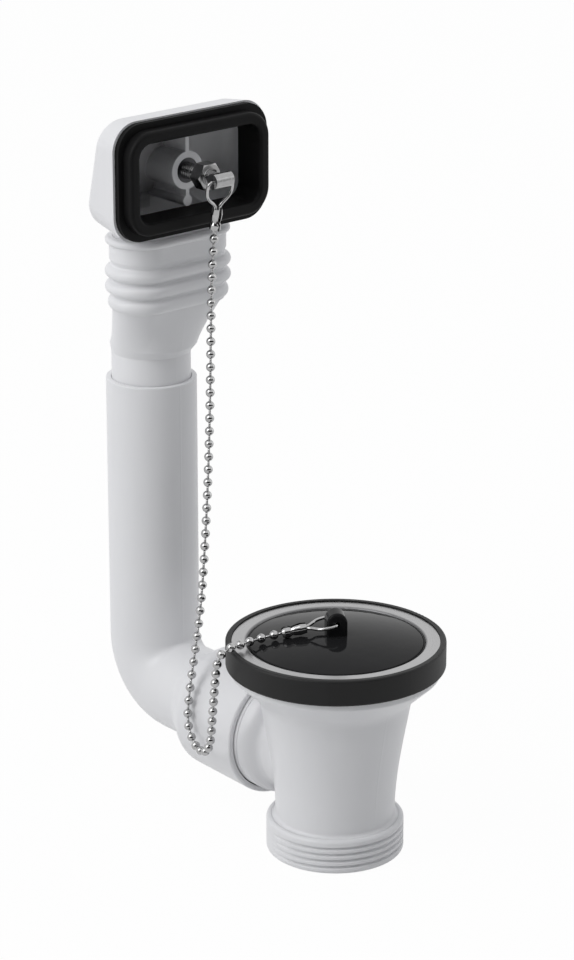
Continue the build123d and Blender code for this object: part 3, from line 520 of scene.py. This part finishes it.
def bent_wire(pivot, ahead, across, held_half):
    """Round wire along a flat line: two pins that face each other, bowed arms, a waist and a loop."""
    arm = held_half + arm_gap
    one_arm = np.array([
        (0, arm - pin_reach),
        (0, arm),
        (0.0026, arm + 0.0010),
        (0.0062, arm + 0.0004),
        (0.0090, 0.0013),
        (0.0108, 0.00075),
        (0.0130, 0.00085),
        (0.0140, 0.00085),
    ])
    flat_line = np.concatenate([one_arm, one_arm[::-1] * (1, -1)])
    ahead, across = np.array(ahead), np.array(across)
    line = spline_points(pivot + flat_line[:, :1] * ahead + flat_line[:, 1:] * across)
    direction = np.gradient(line, axis=0)
    direction /= np.linalg.norm(direction, axis=1)[:, None]
    upright = np.cross(ahead, across)
    outward = np.cross(direction, upright)
    angle = np.linspace(0, 2 * np.pi, wire_sides, endpoint=False)
    ring = outward[:, None, :] * np.cos(angle)[None, :, None] + upright * np.sin(angle)[None, :, None]
    rows = np.concatenate([[0], np.arange(len(line)), [len(line) - 1]])
    thick = np.concatenate([[0], np.ones(len(line)), [0]]) * wire_radius
    points = line[rows][:, None, :] + ring[rows] * thick[:, None, None]
    return points, grid_faces(len(rows), wire_sides)[:, ::-1]


upper_ahead, upper_across = (-np.sin(swing), 0, -np.cos(swing)), (0, 1, 0)
upper_clip = new_piece(
    "upper_chain_clip_wire",
    *bent_wire(stay_pivot, upper_ahead, upper_across, stay_half_width),
    clip_chrome,
)
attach(upper_clip, "overflow")
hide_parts("upper_chain_clip")
lower_ahead = (np.cos(heading) * np.cos(dip), np.sin(heading) * np.cos(dip), -np.sin(dip))
lower_across = (-np.sin(heading), np.cos(heading), 0)
lower_clip = new_piece(
    "lower_chain_clip_wire",
    *bent_wire(post_pivot, lower_ahead, lower_across, post_half_width),
    clip_chrome,
)
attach(lower_clip, "waste")
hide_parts("lower_chain_clip")
wear(nodes["upper_chain_clasp"], clip_chrome)
wear(nodes["lower_chain_clasp"], clip_chrome)

# Ball chain: hollow pressed balls on short pins, chromed, hung from the stay and led over the
# gasket's edge to the plug. It hangs limp against the socket below.

ball_radius, ball_pitch, link_radius = 0.0016, 0.00455, 0.00042
ball_sides, link_sides, ball_end_share = 16, 10, 0.97
chain_route = np.array([
    (-63.28, 0.0, 132.62),
    (-64.8, -0.4, 119.0),
    (-64.2, -1.4, 97.0),
    (-63.2, -2.9, 69.0),
    (-61.2, -5.7, 42.5),
    (-59.0, -9.3, 18.0),
    (-56.6, -13.0, 0.0),
    (-54.8, -17.2, -15.4),
    (-53.2, -21.1, -28.0),
    (-50.9, -24.9, -40.4),
    (-43.2, -28.0, -46.0),
    (-34.0, -30.7, -45.7),
    (-27.9, -33.0, -39.5),
    (-25.3, -34.4, -30.5),
    (-22.2, -36.2, -21.1),
    (-18.6, -38.3, -11.2),
    (-15.2, -40.4, -2.6),
    (-12.8, -39.0, 2.4),
    (-13.4, -32.6, 1.9),
    (-14.4, -27.2, 1.5),
    (-12.9, -19.9, 2.1),
    (-9.21, -14.18, 3.37),
]) / 1000


def along(points, stations):
    """Places and directions at the given lengths along a line of points."""
    steps = np.linalg.norm(np.diff(points, axis=0), axis=1)
    lengths = np.concatenate([[0], np.cumsum(steps)])
    place = np.stack([np.interp(stations, lengths, points[:, k]) for k in range(3)], axis=-1)
    reach = ball_radius / 2
    ahead = np.stack([np.interp(stations + reach, lengths, points[:, k]) for k in range(3)], axis=-1)
    behind = np.stack([np.interp(stations - reach, lengths, points[:, k]) for k in range(3)], axis=-1)
    direction = ahead - behind
    return place, direction / np.linalg.norm(direction, axis=1)[:, None]


def beads(centres, directions, radii, heights, sides):
    """Turned bead at each centre: a profile of radii and heights carried round its direction."""
    helper = np.where(np.abs(directions[:, 2:]) > 0.9, [[1.0, 0, 0]], [[0, 0, 1.0]])
    side = np.cross(directions, helper)
    side /= np.linalg.norm(side, axis=1)[:, None]
    other = np.cross(directions, side)
    angle = np.linspace(0, 2 * np.pi, sides, endpoint=False)
    cosine, sine = np.cos(angle)[None, :, None], np.sin(angle)[None, :, None]
    round_it = side[:, None, :] * cosine + other[:, None, :] * sine
    points = (
        centres[:, None, None, :]
        + directions[:, None, None, :] * heights[None, :, None, None]
        + round_it[:, None, :, :] * radii[None, :, None, None]
    )
    quads = grid_faces(len(radii), sides)
    offsets = np.arange(len(centres))[:, None, None] * (len(radii) * sides)
    return points.reshape(-1, 3), (quads[None] + offsets).reshape(-1, 4)


chain_line = spline_points(chain_route)
line_length = np.linalg.norm(np.diff(chain_line, axis=0), axis=1).sum()
ball_count = int(round(line_length / ball_pitch)) + 1
ball_places, ball_directions = along(chain_line, np.linspace(0, line_length, ball_count))
latitude = np.radians(np.linspace(-80, 80, 11))
ball_points, ball_quads = beads(
    ball_places,
    ball_directions,
    np.concatenate([[0], ball_radius * np.cos(latitude), [0]]),
    ball_radius * np.concatenate([[-ball_end_share], np.sin(latitude), [ball_end_share]]),
    ball_sides,
)
link_steps = np.diff(ball_places, axis=0)
link_spans = np.linalg.norm(link_steps, axis=1)
link_half = link_spans.mean() / 2 - ball_radius * 0.9
link_points, link_quads = beads(
    (ball_places[1:] + ball_places[:-1]) / 2,
    link_steps / link_spans[:, None],
    np.array([0, link_radius, link_radius, 0]),
    np.array([-1.0, -1.0, 1.0, 1.0]) * link_half,
    link_sides,
)
chain_points = np.concatenate([ball_points, link_points])
chain_quads = np.concatenate([ball_quads, link_quads + len(ball_points)])
chain_chrome = bright_chrome("chain_chrome", 0.44, 0.06, False)
chain = new_piece("ball_chain_bright", chain_points, chain_quads, chain_chrome)
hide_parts("ball_chain")
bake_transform(chain)

# Studio: a pale floor under the collar's foot, soft lamps, and the view of the photograph.
# The world is white to the eye and in reflections, and a quiet grey as light. Two dark cards
# off the picture give shiny pieces the dark side of a room to mirror.

floor_size, floor_gap = 6.0, 0.0003
floor_mesh = bpy.data.meshes.new("floor")
floor_corners = np.array([(-1, -1, 0), (1, -1, 0), (1, 1, 0), (-1, 1, 0)]) * floor_size
floor_corners[:, 2] = collar_bottom - floor_gap
floor_mesh.from_pydata(floor_corners.tolist(), [], [(0, 1, 2, 3)])
floor = bpy.data.objects.new("floor", floor_mesh)
bpy.context.scene.collection.objects.link(floor)
floor_material = bpy.data.materials.new("floor_white")
floor_material.use_nodes = True
floor_tree = floor_material.node_tree
floor_tree.nodes.clear()
floor_out = floor_tree.nodes.new("ShaderNodeOutputMaterial")
floor_light = floor_tree.nodes.new("ShaderNodeLightPath")
seen = Wire(floor_tree, floor_light.outputs["Is Camera Ray"])
mirrored = Wire(floor_tree, floor_light.outputs["Is Glossy Ray"])
paper = seen.node("ShaderNodeBsdfDiffuse", {}, {"Color": (0.86, 0.86, 0.86, 1)})
glow = seen.node("ShaderNodeEmission", {}, {"Color": (1, 1, 1, 1), "Strength": 1.0})
mirror_glow = seen.node("ShaderNodeEmission", {}, {"Color": (1, 1, 1, 1), "Strength": 0.90})
unseen_floor = seen.node("ShaderNodeMixShader", {}, {0: mirrored, 1: paper, 2: mirror_glow})
floor_mix = seen.node("ShaderNodeMixShader", {}, {0: seen * 0.97, 1: unseen_floor, 2: glow})
floor_tree.links.new(floor_mix.socket, floor_out.inputs["Surface"])
wear(floor, floor_material)

world = bpy.data.worlds.new("studio")
bpy.context.scene.world = world
world.use_nodes = True
world_tree = world.node_tree
world_tree.nodes.clear()
world_out = world_tree.nodes.new("ShaderNodeOutputWorld")
paths = world_tree.nodes.new("ShaderNodeLightPath")
looked_at = Wire(world_tree, paths.outputs["Is Camera Ray"])
reflected = Wire(world_tree, paths.outputs["Is Glossy Ray"])
passed = Wire(world_tree, paths.outputs["Is Transmission Ray"])
shown = looked_at.math("MAXIMUM", looked_at.math("MAXIMUM", looked_at, reflected), passed)
ambient = looked_at.node("ShaderNodeBackground", {}, {"Color": (0.96, 0.975, 1.0, 1), "Strength": 0.595})
white = looked_at.node("ShaderNodeBackground", {}, {"Color": (1, 1, 1, 1), "Strength": 1.0})
world_mix = looked_at.node("ShaderNodeMixShader", {}, {0: shown, 1: ambient, 2: white})
world_tree.links.new(world_mix.socket, world_out.inputs["Surface"])


def soft_lamp(name, place, aim, size, power):
    """Rectangular area lamp at a place, turned to an aim."""
    lamp = bpy.data.lights.new(name, "AREA")
    lamp.shape = "RECTANGLE"
    lamp.size, lamp.size_y = size
    lamp.energy = power
    holder = bpy.data.objects.new(name, lamp)
    holder.location = place
    holder.rotation_euler = (Vector(aim) - Vector(place)).to_track_quat("-Z", "Y").to_euler()
    bpy.context.scene.collection.objects.link(holder)


aim = Vector((-0.0256, 0.0, 0.05065))
azimuth, elevation, distance = np.radians(49.25), np.radians(19.5), 1.165
level_back = Vector((np.sin(azimuth), -np.cos(azimuth), 0))
back = level_back * np.cos(elevation) + Vector((0, 0, np.sin(elevation)))
right = Vector((np.cos(azimuth), np.sin(azimuth), 0))
soft_lamp("key_left", aim - right * 1.2 + back * 0.80 + Vector((0, 0, 0.95)), aim, (1.0, 1.4), 16.0)
soft_lamp("fill_right", aim + right * 1.3 - back * 0.30 + Vector((0, 0, 0.35)), aim, (0.7, 1.2), 1.5)


def dark_card(name, middle, across, upward):
    """Matt black card of two half widths round a middle, hidden from the camera and casting no shadow."""
    mesh = bpy.data.meshes.new(name)
    foot, head = middle - upward, middle + upward
    ends = [foot - across, foot + across, head + across, head - across]
    mesh.from_pydata([tuple(end) for end in ends], [], [(0, 1, 2, 3)])
    card = bpy.data.objects.new(name, mesh)
    bpy.context.scene.collection.objects.link(card)
    matt, feed, place = new_finish("matt_black_" + name, Roughness=0.9, Specular_IOR_Level=0.0)
    feed(Base_Color=place.noise(6.0).tint((0.010, 0.010, 0.010), (0.014, 0.014, 0.014)))
    wear(card, matt)
    card.visible_camera = False
    card.visible_shadow = False


dark_card("room_front", aim + level_back * 1.9 + Vector((0, 0, 0.35)), right * 1.6, Vector((0, 0, 1.0)))
room_side = (level_back * 0.6 + right * 0.8) * 1.9
dark_card("room_side", aim + room_side, (right * 0.6 - level_back * 0.8) * 0.9, Vector((0, 0, 0.8)))

sensor_height, focal_pixels, picture_height = 24.0, 3404, 960
camera_data = bpy.data.cameras.new("photo_view")
camera_data.sensor_fit = "VERTICAL"
camera_data.sensor_height = sensor_height
camera_data.lens = sensor_height * focal_pixels / picture_height
camera_data.clip_end = 20.0
camera = bpy.data.objects.new("photo_view", camera_data)
camera.location = aim + back * distance
camera.rotation_euler = (-back).to_track_quat("-Z", "Y").to_euler()
bpy.context.scene.collection.objects.link(camera)
bpy.context.scene.camera = camera
bpy.context.scene.view_settings.view_transform = "Standard"
